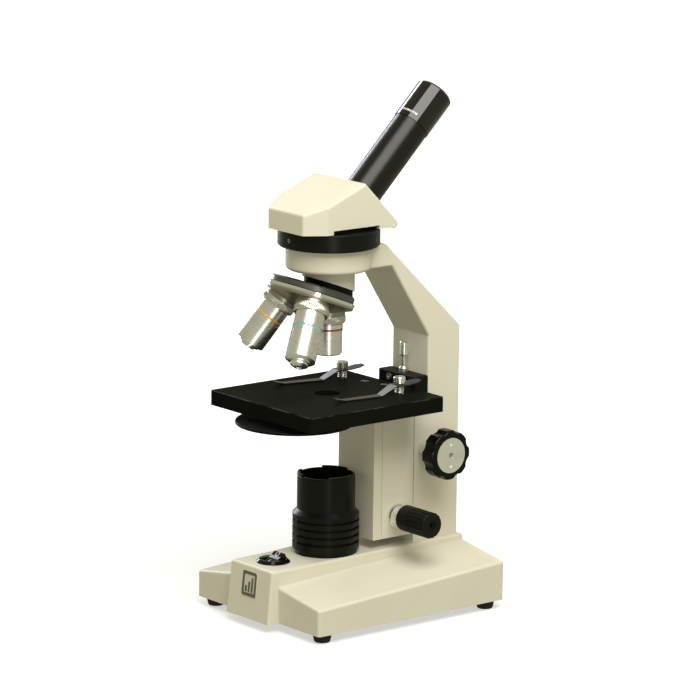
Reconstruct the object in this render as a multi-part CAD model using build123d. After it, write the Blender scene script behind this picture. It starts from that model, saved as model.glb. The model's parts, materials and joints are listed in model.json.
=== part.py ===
from build123d import *
import math
import os

# A student microscope with one eyepiece, three objectives and a lamp in its foot.
# Units are millimetres. Every shape is drawn about the optical axis (x = 0, y = 0), front towards -Y,
# with the table at z = TABLE. When a piece is written it is moved, so that the origin of the finished
# part is the centre of the base's footprint, on the table.
TABLE = 1.0

# Fits between pieces
SNUG = 0.03            # gap between two pieces fixed to each other
RUN = 0.06             # radial gap of a running fit
CLEAR = 0.3            # gap between pieces that pass each other

# Base casting
BASE_Z = 7.0             # underside of the casting
BASE_HALF_WIDTH = 66.6
WING_FRONT, BASE_BACK = -58.5, 103.9
WING_EDGE_FRONT, WING_EDGE_BACK = 25.0, 34.0    # height of the wing's outer top edge
WING_RISE = 7.35                                # from that edge to the centre block
BLOCK_HALF_FOOT, BLOCK_HALF_TOP = 23.3, 22.5
NOSE_FOOT, NOSE_TOP = -67.5, -63.7
BLOCK_TOP_FRONT, BLOCK_TOP_BACK = 43.0, 44.65
BASE_WALL = 3.5
FOOT_RADIUS = 6.2
FOOT_X, FOOT_FRONT, FOOT_BACK = 58.2, -49.0, 94.0
PLATE_Z, PLATE_THICK = 8.4, 1.5
PLATE_SCREW_X, PLATE_SCREW_FRONT, PLATE_SCREW_BACK = 44.0, -46.0, 84.0

# Arm casting
ARM_HALF = 19.4
ARM_BACK, ARM_FACE, ARM_LOWER_FACE = 101.0, 72.7, 61.3
LEDGE_Z = 134.0
ARM_TOP, ARM_UNDER = 255.6, 239.2
BACK_KNEE_Z, TOP_KNEE_Y = 191.9, 33.9
UNDER_KNEE_Y, FACE_KNEE_Z = 39.6, 187.4
ARM_END_RADIUS = 29.1
NECK_RADIUS = 17.8
LIGHT_RADIUS = 11.0
BOLT_X, BOLT_FRONT, BOLT_BACK = 12.0, 73.0, 93.0

# Head
RING_RADIUS, RING_Z, RING_TOP = 34.6, 255.6, 267.6
SPIGOT_RADIUS = 25.4
RING_SCREWS = (-90, 30, 150)     # where the ring's three screws are, in degrees from +X
HEAD_Z = 267.9
HEAD_HALF, NOSE_HALF = 27.9, 18.6
HEAD_FRONT, HEAD_SHOULDER, HEAD_BACK = -37.4, -23.3, 37.7
HEAD_FRONT_TOP, RIDGE_Y, RIDGE_Z, HEAD_BACK_TOP = 281.9, 9.0, 300.2, 271.5
NOTCH_FRONT, NOTCH_BACK, NOTCH_HEIGHT = -18.2, 21.0, 2.6   # the step in the head's lower side edges
HEAD_WALL = 3.0
TUBE_AXIS_Z = 259.6              # height at which the tube's axis would cross the optical axis
TUBE_TILT = 45.0
TUBE_RADIUS, TUBE_BORE = 12.8, 11.7
TUBE_START, TUBE_FACE, TUBE_END = 30.5, 35.1, 99.3   # distances along the tube's axis
EYEPIECE_RADIUS, EYEPIECE_LENGTH = 13.3, 30.2
BARREL_RADIUS, BARREL_LENGTH = 11.62, 27.0

# Turret and objectives
TURRET_TILT = 21.0
TURRET_APEX = 262.0              # where the turret's axis crosses the optical axis
SHOULDER = 53.7                  # from that point to each objective's shoulder
NECK_CUT, TURRET_TOP, RIM_TOP, RIM_UNDER = 31.0, 35.5, 40.4, 44.8   # heights along the turret's axis
GRIP_RADIUS, TURRET_RADIUS, RIM_TAPER = 29.2, 30.6, 0.8
THREAD_RADIUS, THREAD_LENGTH = 10.1, 4.6
KNURL_RADIUS, OBJECTIVE_RADIUS = 11.6, 10.1
LOW_SLEEVE, SLEEVE_RADIUS = 9.7, 10.3
NOSE_RADIUS = 7.3
LOW_LENGTH, MIDDLE_LENGTH, HIGH_LENGTH = 27.5, 39.2, 44.6
LOW_BAND, MIDDLE_BAND, HIGH_BAND = 10.0, 14.1, 16.9   # from the shoulder to the middle of the band

# Stage and its carriages
STAGE_HALF, STAGE_FRONT, STAGE_BACK = 55.0, -57.6, 57.1
STAGE_TOP, STAGE_THICK = 153.4, 10.3
STAGE_HOLE = 8.6
BRACKET_PLATE = 3.2
BRACKET_FRONT, BRACKET_BACK, BRACKET_TOP = 61.2, 72.4, 159.9
CARRIAGE_HALF = 19.4
PLATE_FRONT, PLATE_BACK = 26.0, 33.3
BLOCK_FRONT, BLOCK_BACK = 33.6, 61.0
CARRIAGE_Z, BLOCK_TOP = 50.5, 138.0
CLIP_X, CLIP_Y = 30.7, 37.9
CLIP_REACH, CLIP_TAB = 52.0, 16.0
CLIP_HEIGHT = 6.2
LEFT_CLIP_TURN, RIGHT_CLIP_TURN = -12.0, -6.0
STOP_Y = 67.0
DISC_Y, DISC_RADIUS, DISC_Z, DISC_THICK = -28.0, 40.0, 136.5, 2.0

# Focus drives
COARSE_Y, COARSE_Z = 70.6, 109.2
SHAFT_RADIUS = 3.2
PINION_TEETH, GEAR_MODULE = 16, 0.5
COARSE_KNOB_RADIUS, COARSE_KNOB_IN, COARSE_KNOB_OUT = 17.2, 37.2, 47.4
SLIDE_DEPTH = 3.4
KNOB_LOBES = 8
FINE_Y, FINE_Z = 46.4, 65.5
FINE_KNOB_RADIUS, FINE_KNOB_IN, FINE_KNOB_OUT = 8.95, 28.6, 56.8
FINE_FLUTES = 18
CAM_RADIUS, FINE_TRAVEL, CAM_TURN = 6.0, 0.7, 160.0   # lift either way, and the turn it takes

# Lamp, switch, badge and power inlet
LAMP_FOOT_RADIUS, LAMP_RADIUS, LAMP_TUBE_RADIUS = 20.8, 22.8, 19.8
LAMP_SEAT_Z, LAMP_FOOT_TOP, LAMP_BODY_TOP, LAMP_SHOULDER, LAMP_TOP = 43.2, 46.5, 71.0, 74.0, 97.6
LAMP_LUG, LAMP_LUG_TURNS = 1.2, (122, 235, 355)   # height of the keeper lugs, and their places
LAMP_SCREW_Y = 17.2
SWITCH_Y, SWITCH_RADIUS, SWITCH_SEAT_Z = -45.2, 11.4, 42.9
BADGE_Z, BADGE_HALF_WIDTH, BADGE_HALF_HEIGHT = 30.6, 7.6, 8.4
INLET_Z = 22.0

BOTTOM = (Align.CENTER, Align.CENTER, Align.MIN)


# ---------------------------------------------------------------- plain shapes
def box(x0, x1, y0, y1, z0, z1):
    """A block between two corners."""
    size = Box(x1 - x0, y1 - y0, z1 - z0)
    return Pos((x0 + x1) / 2, (y0 + y1) / 2, (z0 + z1) / 2) * size


def rod(radius, z0, z1, x=0.0, y=0.0):
    """An upright cylinder from height z0 to z1."""
    return Pos(x, y, z0) * Cylinder(radius, z1 - z0, align=BOTTOM)


def pipe(outer, inner, z0, z1, x=0.0, y=0.0):
    """An upright ring."""
    return rod(outer, z0, z1, x, y) - rod(inner, z0 - 1, z1 + 1, x, y)


def turned(*outline):
    """A turned piece: an outline of (radius, height) points spun about Z."""
    return revolve(Plane.XZ * Polygon(*outline, align=None), Axis.Z)


def side_cut(half_width, *outline):
    """A side view of (y, z) points, given a width to either side of x = 0."""
    return extrude(Plane.YZ * Polygon(*outline, align=None), half_width, both=True)


def plan_cut(z0, z1, *outline):
    """A plan view of (x, y) points, raised from z0 to z1."""
    return Pos(0, 0, z0) * extrude(Polygon(*outline, align=None), z1 - z0)


def across(shape, y, z, side=1):
    """Lay a piece drawn along Z on its side at (y, z), so that it points to +X, or to -X."""
    return Pos(0, y, z) * Rot(0, 90 * side, 0) * shape


def on_tube(shape):
    """Set a piece drawn along Z on the slanted tube's axis."""
    return Pos(0, 0, TUBE_AXIS_Z) * Rot(-TUBE_TILT, 0, 0) * shape


def on_turret(shape):
    """Set a piece drawn along Z on the turret's axis, which leans down and forward."""
    axis = (0, -math.sin(math.radians(TURRET_TILT)), -math.cos(math.radians(TURRET_TILT)))
    return Plane(origin=(0, 0, TURRET_APEX), x_dir=(1, 0, 0), z_dir=axis).location * shape


def in_turret(shape, seat):
    """Lean a piece drawn along Z to the axis of turret seat 0, 1 or 2, in the turret's own frame."""
    return Rot(0, 0, 120 * seat) * Rot(TURRET_TILT, 0, 0) * shape


def on_seat(shape, seat):
    """Set a piece drawn along Z on the axis of a turret seat. Seat 0 is the one in use."""
    return on_turret(in_turret(shape, seat))


def base_top(y):
    """Height of the centre block's top at y."""
    slope = (BLOCK_TOP_BACK - BLOCK_TOP_FRONT) / (BASE_BACK - NOSE_TOP)
    return BLOCK_TOP_FRONT + (y - NOSE_TOP) * slope


def corners(x, front, back):
    """The four places of a symmetric set of fasteners."""
    return [(side * x, y) for side in (-1, 1) for y in (front, back)]


def screw(head_radius, head_length, radius, length, socket):
    """A screw that points up +Z from its head, with a hexagon socket."""
    body = rod(head_radius, -head_length, 0) + rod(radius, 0, length)
    return body - Pos(0, 0, -head_length) * extrude(RegularPolygon(socket, 6), head_length * 0.55)


def dovetail(root, y, depth, z0, z1, gap=0.0):
    """A dovetail bar: root is its half width at y, and it widens with depth."""
    spread = abs(depth) * 0.5
    points = [(-root - gap, y), (root + gap, y),
              (root + spread + gap, y + depth), (-root - spread - gap, y + depth)]
    return plan_cut(z0, z1, *points)


# ---------------------------------------------------------------- base
def wing_solid(inset):
    """The wide foot, with both wings sloping down and forward."""
    half = BASE_HALF_WIDTH - inset
    front, back = WING_FRONT + inset, BASE_BACK - inset
    slope = (WING_EDGE_BACK - WING_EDGE_FRONT) / (BASE_BACK - WING_FRONT)
    edge = WING_EDGE_FRONT - inset * 1.02
    section = [(-half, -20), (half, -20), (half, edge), (BLOCK_HALF_TOP - 2, edge + WING_RISE),
               (2 - BLOCK_HALF_TOP, edge + WING_RISE), (-half, edge)]
    length = BASE_BACK - WING_FRONT
    lean = Plane(origin=(0, WING_FRONT, 0), x_dir=(1, 0, 0), z_dir=(0, -1, 0))
    run = Vector(0, length, length * slope)
    prism = extrude(lean * Polygon(*section, align=None), run.length, dir=run.normalized())
    return prism & box(-half, half, front, back, BASE_Z, 100)


def block_solid(inset):
    """The raised centre block that carries the lamp, the switch and the arm."""
    foot, top = BLOCK_HALF_FOOT - inset, BLOCK_HALF_TOP - inset
    section = Polygon((-foot, BASE_Z), (foot, BASE_Z), (top, 46), (-top, 46), align=None)
    prism = extrude(Plane.XZ * section, 150, both=True)
    side = side_cut(40, (NOSE_FOOT + inset, BASE_Z), (BASE_BACK - inset, BASE_Z),
                    (BASE_BACK - inset, BLOCK_TOP_BACK - inset), (NOSE_TOP + inset, BLOCK_TOP_FRONT - inset))
    return prism & side


def soft_wings():
    """The wings with rounded corners and top edges."""
    wings = wing_solid(0)
    wings = fillet(wings.edges().filter_by(Axis.Z), 2.6)
    return fillet(wings.faces().sort_by(Axis.Z)[-3:].edges().filter_by(lambda e: e.center().Z > 20
                  and abs(e.center().X) > BLOCK_HALF_FOOT), 2.0)


def base_shell():
    """The cream base casting: a shell open below, with bosses for all that is screwed to it."""
    block = block_solid(0)
    block = fillet(block.edges().filter_by(lambda e: e.center().Z > 12), 1.8)
    solid = soft_wings() + block
    hollow = wing_solid(BASE_WALL) + block_solid(BASE_WALL)
    shell = solid - hollow
    for x, y in corners(FOOT_X, FOOT_FRONT, FOOT_BACK):
        shell += rod(7.0, BASE_Z, 60, x, y) & solid
    for x, y in corners(PLATE_SCREW_X, PLATE_SCREW_FRONT, PLATE_SCREW_BACK):
        shell += rod(4.5, PLATE_Z + PLATE_THICK, 60, x, y) & solid
    for x, y in corners(FOOT_X, FOOT_FRONT, FOOT_BACK):
        shell -= rod(2.0 + SNUG, 0, BASE_Z + 9, x, y)
    for x, y in corners(PLATE_SCREW_X, PLATE_SCREW_FRONT, PLATE_SCREW_BACK):
        shell -= rod(1.5 + SNUG, 0, PLATE_Z + 11, x, y)
    for x, y in corners(BOLT_X, BOLT_FRONT, BOLT_BACK):
        shell -= rod(3.2, 20, 60, x, y)
    shell -= rod(LAMP_FOOT_RADIUS + 0.3, LAMP_SEAT_Z, 60)
    shell -= rod(14.0, 20, 60)
    for y in (-LAMP_SCREW_Y, LAMP_SCREW_Y):
        shell -= rod(1.6, 20, 60, 0, y)
    shell -= rod(SWITCH_RADIUS + 0.3, SWITCH_SEAT_Z, 60, 0, SWITCH_Y)
    shell -= rod(9.2, 20, 60, 0, SWITCH_Y)
    shell -= Pos(0, BASE_BACK - 10, INLET_Z) * Rot(-90, 0, 0) * Cylinder(5.6, 20, align=BOTTOM)
    return shell


def base_plate():
    """The steel sheet that closes the base from below."""
    half = BASE_HALF_WIDTH - BASE_WALL - 0.4
    nose = BLOCK_HALF_FOOT - BASE_WALL - 0.6
    front, back = WING_FRONT + BASE_WALL + 0.4, BASE_BACK - BASE_WALL - 0.4
    plate = box(-half, half, front, back, PLATE_Z, PLATE_Z + PLATE_THICK)
    plate += box(-nose, nose, NOSE_FOOT + BASE_WALL + 0.9, front, PLATE_Z, PLATE_Z + PLATE_THICK)
    for x, y in corners(FOOT_X, FOOT_FRONT, FOOT_BACK):
        plate -= rod(7.8, 0, 20, x, y)
    for x, y in corners(PLATE_SCREW_X, PLATE_SCREW_FRONT, PLATE_SCREW_BACK):
        plate -= rod(1.7, 0, 20, x, y)
    vents = [box(x - 1.2, x + 1.2, -12, 12, 0, 20) for x in range(-12, 13, 6)]
    return plate - vents


def base_screws():
    """The small screws of the base: four for the plate, one in each foot and two for the lamp."""
    plate_screw, foot_screw = screw(2.8, 1.8, 1.5, 10, 1.4), screw(4.0, 2.0, 2.0, 12.2, 2.0)
    lamp_screw, seat = screw(2.6, 2.0, 1.25, 8.0, 1.2), base_top(0) - BASE_WALL - 0.25
    screws = [Pos(x, y, PLATE_Z) * plate_screw
              for x, y in corners(PLATE_SCREW_X, PLATE_SCREW_FRONT, PLATE_SCREW_BACK)]
    screws += [Pos(x, y, TABLE + 2.6) * foot_screw for x, y in corners(FOOT_X, FOOT_FRONT, FOOT_BACK)]
    return screws + [Pos(0, y, seat) * lamp_screw for y in (-LAMP_SCREW_Y, LAMP_SCREW_Y)]


def rubber_feet():
    """Four rubber feet, dished below for their screws."""
    foot = turned((2.2, TABLE + 2.6), (4.2, TABLE + 2.6), (4.2, TABLE), (4.9, TABLE), (5.5, TABLE + 0.7),
                  (FOOT_RADIUS, BASE_Z - 2.0), (FOOT_RADIUS, BASE_Z), (2.2, BASE_Z))
    return [Pos(x, y, 0) * foot for x, y in corners(FOOT_X, FOOT_FRONT, FOOT_BACK)]


def badge():
    """A thin plate on the nose with an abstract mark: a frame round three rising bars."""
    lean = math.degrees(math.atan2(NOSE_TOP - NOSE_FOOT, BLOCK_TOP_FRONT - BASE_Z))
    plate = RectangleRounded(2 * BADGE_HALF_WIDTH, 2 * BADGE_HALF_HEIGHT, 1.6)
    solid = extrude(plate, 0.5)
    window = RectangleRounded(2 * BADGE_HALF_WIDTH - 4.4, 2 * BADGE_HALF_HEIGHT - 4.4, 1.0)
    solid -= Pos(0, 0, 0.35) * extrude(window, 1)
    for place, height in ((-3.2, 4.0), (0.0, 7.0), (3.2, 10.0)):
        solid += Pos(place, (height - 11) / 2, 0.35) * Box(1.8, height, 0.3, align=BOTTOM)
    share = (BADGE_Z - BASE_Z) / (BLOCK_TOP_FRONT - BASE_Z)
    y = NOSE_FOOT + (NOSE_TOP - NOSE_FOOT) * share
    return Pos(0, y, BADGE_Z) * Rot(90 - lean, 0, 0) * solid


def power_inlet():
    """The round socket in the rear wall that a plug-in supply would feed."""
    body = turned((0, -12), (5.4, -12), (5.4, 0), (7.0, 0), (7.0, 1.0), (3.2, 1.0), (3.2, -9), (0, -9))
    return Pos(0, BASE_BACK, INLET_Z) * Rot(-90, 0, 0) * body


def base_wiring():
    """Two leads inside the base: inlet to switch, and switch to lamp socket."""
    long_lead = FilletPolyline((6, BASE_BACK - 12.1, INLET_Z), (6, 40, INLET_Z), (16, 10, 19),
                               (16, -24, 19), (4, -36, 24), radius=8)
    short_lead = FilletPolyline((-4, -36, 24), (-10, -28, 19), (-10, -8, 19), (-5, 0, 27), radius=4)
    leads = []
    for path in (long_lead, short_lead):
        start = Plane(origin=path @ 0, z_dir=path % 0)
        leads.append(sweep(start * Circle(1.3), path=path))
    return leads


# ---------------------------------------------------------------- lamp and switch
def lamp_housing():
    """The black ribbed heat sink on the base."""
    body = turned((13.6, 30), (13.6, LAMP_SEAT_Z), (LAMP_FOOT_RADIUS, LAMP_SEAT_Z),
                  (LAMP_FOOT_RADIUS, LAMP_FOOT_TOP), (LAMP_RADIUS, LAMP_FOOT_TOP),
                  (LAMP_RADIUS, LAMP_BODY_TOP), (LAMP_TUBE_RADIUS, LAMP_SHOULDER),
                  (18.0, LAMP_SHOULDER), (18.0, 50), (11.5, 50), (11.5, 30))
    for count in range(4):
        z = LAMP_FOOT_TOP + 4.8 + 5.0 * count
        body -= pipe(LAMP_RADIUS + 1, LAMP_RADIUS - 1.8, z, z + 1.9)
    for y in (-LAMP_SCREW_Y, LAMP_SCREW_Y):
        body -= rod(1.25 + SNUG, 30, 48.8, 0, y)
    return body


def lamp_tube():
    """The upper tube, which lifts off for a new bulb, with three keeper lugs on its rim."""
    low = LAMP_SHOULDER + SNUG
    tube = turned((16.2, 60), (17.9, 60), (17.9, low), (LAMP_TUBE_RADIUS, low),
                  (LAMP_TUBE_RADIUS, LAMP_TOP - 0.5), (LAMP_TUBE_RADIUS - 0.5, LAMP_TOP), (18.3, LAMP_TOP),
                  (18.3, LAMP_TOP - 2.5), (17.6, LAMP_TOP - 2.5), (17.6, 87.2), (17.3, 87.2), (17.3, 84),
                  (16.2, 84))
    wedge = plan_cut(LAMP_TOP - 2.5, LAMP_TOP + LAMP_LUG, (0, 0), (30, -16), (30, 16))
    lug = pipe(LAMP_TUBE_RADIUS - 0.2, 18.0, LAMP_TOP - 2.5, LAMP_TOP + LAMP_LUG) & wedge
    for turn in LAMP_LUG_TURNS:
        tube += Rot(0, 0, turn) * lug
    return tube


def lamp_lens():
    """The collector lens in the lamp tube, flat below and domed above."""
    dome = Pos(0, 0, 84.05 + 3 - 40) * Sphere(40)
    return rod(17.15, 84.05, 92) & dome


def lamp_socket():
    """The white bulb holder that sits in the housing's floor."""
    return turned((4.2, 31), (11.4, 31), (11.4, 49.9), (8.0, 52), (4.2, 52))


def lamp_bulb():
    """The small bulb: a brass cap below a glass bulb, drawn as one turned piece."""
    neck = rod(4.1, 40, 55)
    return neck + Pos(0, 0, 60.5) * Sphere(7.0)


def switch_bezel():
    """The round black switch frame with its body below."""
    z = SWITCH_SEAT_Z
    frame = turned((0, 28), (8.9, 28), (8.9, z), (SWITCH_RADIUS, z), (SWITCH_RADIUS, z + 0.7),
                   (SWITCH_RADIUS - 1.7, z + 2.4), (0, z + 2.4))
    frame -= box(-5.4, 5.4, -8.0, 8.0, 31, z + 5)
    frame -= across(Cylinder(1.0 + RUN, 15.0), 0, z - 0.5)
    return Pos(0, SWITCH_Y, 0) * frame


def switch_rocker():
    """The rocker, pressed at its front, on two side pins."""
    z = SWITCH_SEAT_Z - 0.5
    outline = [(-7.4, z + 0.7), (-7.4, z - 2.6), (7.0, z - 2.0), (7.2, z + 3.2), (6.7, z + 5.3),
               (5.8, z + 6.2), (4.6, z + 6.1), (2.3, z + 4.2), (0, z + 2.9), (-3.6, z + 1.6)]
    body = side_cut(5.0, *outline)
    return Pos(0, SWITCH_Y, 0) * (body + across(Cylinder(1.0, 14.0), 0, z))


# ---------------------------------------------------------------- arm
def arm():
    """The cream casting: column, slanted upper arm, round end and the neck below it."""
    profile = [(ARM_LOWER_FACE, base_top(ARM_LOWER_FACE)), (ARM_BACK, base_top(ARM_BACK)),
               (ARM_BACK, BACK_KNEE_Z), (TOP_KNEE_Y, ARM_TOP), (0, ARM_TOP), (0, ARM_UNDER),
               (UNDER_KNEE_Y, ARM_UNDER), (ARM_FACE, FACE_KNEE_Z), (ARM_FACE, LEDGE_Z),
               (ARM_LOWER_FACE, LEDGE_Z)]
    column = side_cut(ARM_HALF, *profile)
    knees = [(ARM_BACK, BACK_KNEE_Z, 5.0), (TOP_KNEE_Y, ARM_TOP, 5.0), (UNDER_KNEE_Y, ARM_UNDER, 3.0),
             (ARM_FACE, FACE_KNEE_Z, 3.0)]
    for y, z, radius in knees:
        near = column.edges().filter_by(Axis.X).sort_by_distance((0, y, z))[:1]
        column = fillet(near, radius)
    back_edges = column.edges().filter_by(lambda e: e.center().Y > TOP_KNEE_Y + 1 and e.center().Z > 60
                                          and abs(e.center().X) > ARM_HALF - 1
                                          and not (e.center().Y < ARM_BACK - 1 and e.center().Z < 150))
    column = fillet(back_edges, 1.6)
    end = fillet(rod(ARM_END_RADIUS, ARM_UNDER, ARM_TOP).edges().sort_by(Axis.Z)[:1], 3.0)
    neck = rod(NECK_RADIUS, 200, ARM_UNDER + 4) - on_turret(rod(60, NECK_CUT, 120))
    casting = column + end + neck
    casting -= rod(LIGHT_RADIUS, 200, 260)
    casting -= on_turret(rod(4.0 + SNUG, 22, 60))
    return casting - arm_cavities()


def arm_cavities():
    """What is cut from the arm: dovetail channel, rack slot, pinion space, shaft and bolt holes."""
    floor = CARRIAGE_Z - 1.5
    cut = dovetail(8.0, BLOCK_BACK, SLIDE_DEPTH + RUN, floor, LEDGE_Z + 1, gap=2 * RUN)
    cut += box(-5.0, 5.0, ARM_LOWER_FACE, COARSE_Y - 2.0, floor, LEDGE_Z + 1)
    cut += across(Cylinder(5.0, 11.0), COARSE_Y, COARSE_Z)
    for side in (-1, 1):
        cut += across(rod(5.65 + SNUG, 5, 30), COARSE_Y, COARSE_Z, side)
    for x, y in corners(BOLT_X, BOLT_FRONT, BOLT_BACK):
        cut += rod(3.0 + SNUG, 40, 60, x, y)
    return cut


def arm_bolts():
    """Bolts from inside the base up into the arm's foot."""
    bolts = []
    for x, y in corners(BOLT_X, BOLT_FRONT, BOLT_BACK):
        seat = base_top(y) - BASE_WALL - 0.12
        bolts.append(Pos(x, y, seat) * screw(5.0, 6.0, 3.0, 18.0, 2.9))
    return bolts


def head_ring():
    """The black ring on the arm in which the head turns."""
    ring = turned((SPIGOT_RADIUS + RUN, RING_Z + 2.5), (SPIGOT_RADIUS + RUN, RING_TOP),
                  (RING_RADIUS - 0.6, RING_TOP), (RING_RADIUS, RING_TOP - 0.6), (RING_RADIUS, RING_Z + 1.0),
                  (RING_RADIUS - 1.0, RING_Z), (LIGHT_RADIUS, RING_Z), (LIGHT_RADIUS, RING_Z + 2.5))
    for turn in RING_SCREWS:
        ring -= Rot(0, 0, turn) * across(rod(1.5 + SNUG, 24, 40), 0, RING_Z + 6.0)
    return ring


def head_ring_screws():
    """Three grub screws that keep the head in its ring."""
    grub = rod(1.5, SPIGOT_RADIUS + 0.4, RING_RADIUS - 0.3)
    grub -= Pos(0, 0, RING_RADIUS - 2.0) * extrude(RegularPolygon(0.9, 6), 5)
    return [Rot(0, 0, turn) * across(grub, 0, RING_Z + 6.0) for turn in RING_SCREWS]


def turret_base():
    """The black slanted seat between the neck and the turret."""
    seat = rod(NECK_RADIUS - 1.3, 200, 245) & on_turret(rod(60, NECK_CUT + SNUG, TURRET_TOP - 0.5))
    seat -= rod(6.5, 190, 250)
    return seat - on_turret(rod(4.0 + SNUG, 20, 60))


def turret_pivot():
    """The screw that the turret turns on."""
    pivot = rod(4.0, 23, 52.4) + rod(6.0, 52.4, 54.4)
    return on_turret(pivot - Pos(0, 0, 53.4) * extrude(RegularPolygon(2.5, 6), 2))


def coarse_bushes():
    """Chromed bushes in both sides of the arm, in which the coarse shaft turns."""
    bush = turned((SHAFT_RADIUS + RUN, 6.6), (5.65, 6.6), (5.65, COARSE_KNOB_IN - CLEAR - 0.6),
                  (5.05, COARSE_KNOB_IN - CLEAR), (SHAFT_RADIUS + RUN, COARSE_KNOB_IN - CLEAR))
    return [across(bush, COARSE_Y, COARSE_Z, side) for side in (-1, 1)]


# ---------------------------------------------------------------- coarse drive
def gear_tooth(root, tip, half_width):
    """One tooth along +Y, narrower at its tip, drawn in the XY plane."""
    return Polygon((-half_width * 1.35, root - 0.4), (half_width * 1.35, root - 0.4),
                   (half_width * 1.2, root), (half_width * 0.55, tip),
                   (-half_width * 0.55, tip), (-half_width * 1.2, root), align=None)


def coarse_shaft():
    """The shaft of the coarse focus, with its pinion cut in the middle."""
    pitch = PINION_TEETH * GEAR_MODULE / 2
    root, tip = pitch - 1.1 * GEAR_MODULE, pitch + 0.85 * GEAR_MODULE
    shaft = Cylinder(SHAFT_RADIUS, 2 * (COARSE_KNOB_IN + 6.0)) + Cylinder(root, 8.0)
    tooth = Pos(0, 0, -4.0) * extrude(gear_tooth(root, tip, 0.28), 8.0)
    step = 360 / PINION_TEETH
    for count in range(PINION_TEETH):
        shaft += Rot(0, 0, (count + 0.5) * step) * tooth
    return across(shaft, COARSE_Y, COARSE_Z)


def coarse_knobs():
    """The two black scalloped knobs."""
    thick = COARSE_KNOB_OUT - COARSE_KNOB_IN
    knob = Cylinder(COARSE_KNOB_RADIUS, thick, align=BOTTOM)
    for count in range(KNOB_LOBES):
        flute = Pos(COARSE_KNOB_RADIUS + 5.2, 0, -1) * Cylinder(6.6, thick + 2, align=BOTTOM)
        knob -= Rot(0, 0, (count + 0.5) * 360 / KNOB_LOBES) * flute
    knob = fillet(knob.edges().filter_by(lambda e: e.center().Z > thick - 0.1), 1.8)
    knob -= rod(12.25, thick - 1.6, thick + 1) + rod(SHAFT_RADIUS + SNUG, -1, 6.1)
    knob -= rod(2.0, 5, thick)
    knob = Pos(0, 0, COARSE_KNOB_IN) * knob
    return [across(knob, COARSE_Y, COARSE_Z, side) for side in (-1, 1)]


def coarse_knob_discs():
    """The satin aluminium disc in each knob's face, with a centre hole and two pin holes."""
    disc = Pos(0, 0, COARSE_KNOB_OUT - 1.57) * Cylinder(12.2, 1.6, align=BOTTOM)
    disc -= rod(2.0, COARSE_KNOB_OUT - 3, COARSE_KNOB_OUT + 1)
    for x in (-7.5, 7.5):
        disc -= Pos(x, 0, 0) * rod(0.9, COARSE_KNOB_OUT - 0.8, COARSE_KNOB_OUT + 1)
    return [across(disc, COARSE_Y, COARSE_Z, side) for side in (-1, 1)]


def coarse_knob_screws():
    """The screw in the middle of each knob."""
    head = COARSE_KNOB_OUT - 0.5
    shank = rod(1.9, COARSE_KNOB_OUT - 3.9, head)
    shank -= Pos(0, 0, head - 1.2) * extrude(RegularPolygon(1.2, 6), 2)
    return [across(shank, COARSE_Y, COARSE_Z, side) for side in (-1, 1)]


# ---------------------------------------------------------------- coarse carriage
def coarse_carriage():
    """The cream block that the coarse focus moves. It carries the fine focus."""
    block = box(-CARRIAGE_HALF, CARRIAGE_HALF, BLOCK_FRONT, BLOCK_BACK, CARRIAGE_Z, BLOCK_TOP)
    block = fillet(block.edges().filter_by(Axis.Z), 0.8)
    block -= dovetail(7.0, PLATE_BACK, SLIDE_DEPTH + RUN, 86, BLOCK_TOP + 1, gap=2 * RUN)
    block -= box(-5.5, 5.5, BLOCK_FRONT - 1, FINE_Y + 8.5, FINE_Z - 8.5, FINE_Z + 14)
    block -= across(Cylinder(2.5 + RUN, 60), FINE_Y, FINE_Z)
    for side in (-1, 1):
        block -= across(rod(6.0 + SNUG, 12, 30), FINE_Y, FINE_Z, side)
    return block


def coarse_slide():
    """The steel dovetail bar on the block's back, which runs in the arm."""
    return dovetail(8.0, BLOCK_BACK + SNUG, SLIDE_DEPTH, 54.5, 130.0)


def rack():
    """The brass rack on the dovetail bar, in mesh with the pinion."""
    pitch_line = COARSE_Y - PINION_TEETH * GEAR_MODULE / 2
    root, tip = pitch_line - 1.1 * GEAR_MODULE, pitch_line + 0.85 * GEAR_MODULE
    step = math.pi * GEAR_MODULE
    back = BLOCK_BACK + SLIDE_DEPTH + 2 * SNUG
    low, high = COARSE_Z - 14.5 * step, COARSE_Z + 14.5 * step
    outline = [(back, low), (back, high), (root, high)]
    for count in range(14, -15, -1):
        z = COARSE_Z + count * step
        outline += [(root, z + 0.46), (tip, z + 0.17), (tip, z - 0.17), (root, z - 0.46)]
    return side_cut(4.4, *outline, (root, low))


def fine_collars():
    """The chromed collars in the block, in which the fine shaft turns."""
    flange, end = CARRIAGE_HALF + SNUG, FINE_KNOB_IN - CLEAR
    collar = turned((2.5 + RUN, 12.1), (6.0, 12.1), (6.0, flange), (8.2, flange), (8.2, flange + 1.6),
                    (7.2, flange + 2.0), (7.2, end - 0.6), (6.6, end), (2.5 + RUN, end))
    return [across(collar, FINE_Y, FINE_Z, side) for side in (-1, 1)]


# ---------------------------------------------------------------- fine drive
def fine_shaft():
    """The shaft of the fine focus."""
    return across(Cylinder(2.5, 2 * (FINE_KNOB_OUT - 8.0)), FINE_Y, FINE_Z)


def fine_cam():
    """The spiral cam on the fine shaft: its radius grows evenly with the angle."""
    growth = FINE_TRAVEL / CAM_TURN
    points = []
    for count in range(-44, 45):
        angle = count * 4.0
        radius = CAM_RADIUS + growth * angle
        turn = math.radians(90 + angle)
        points.append((FINE_Y + radius * math.cos(turn), FINE_Z + radius * math.sin(turn)))
    return side_cut(2.5, *points) - across(Cylinder(2.5 + SNUG, 10), FINE_Y, FINE_Z)


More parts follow.
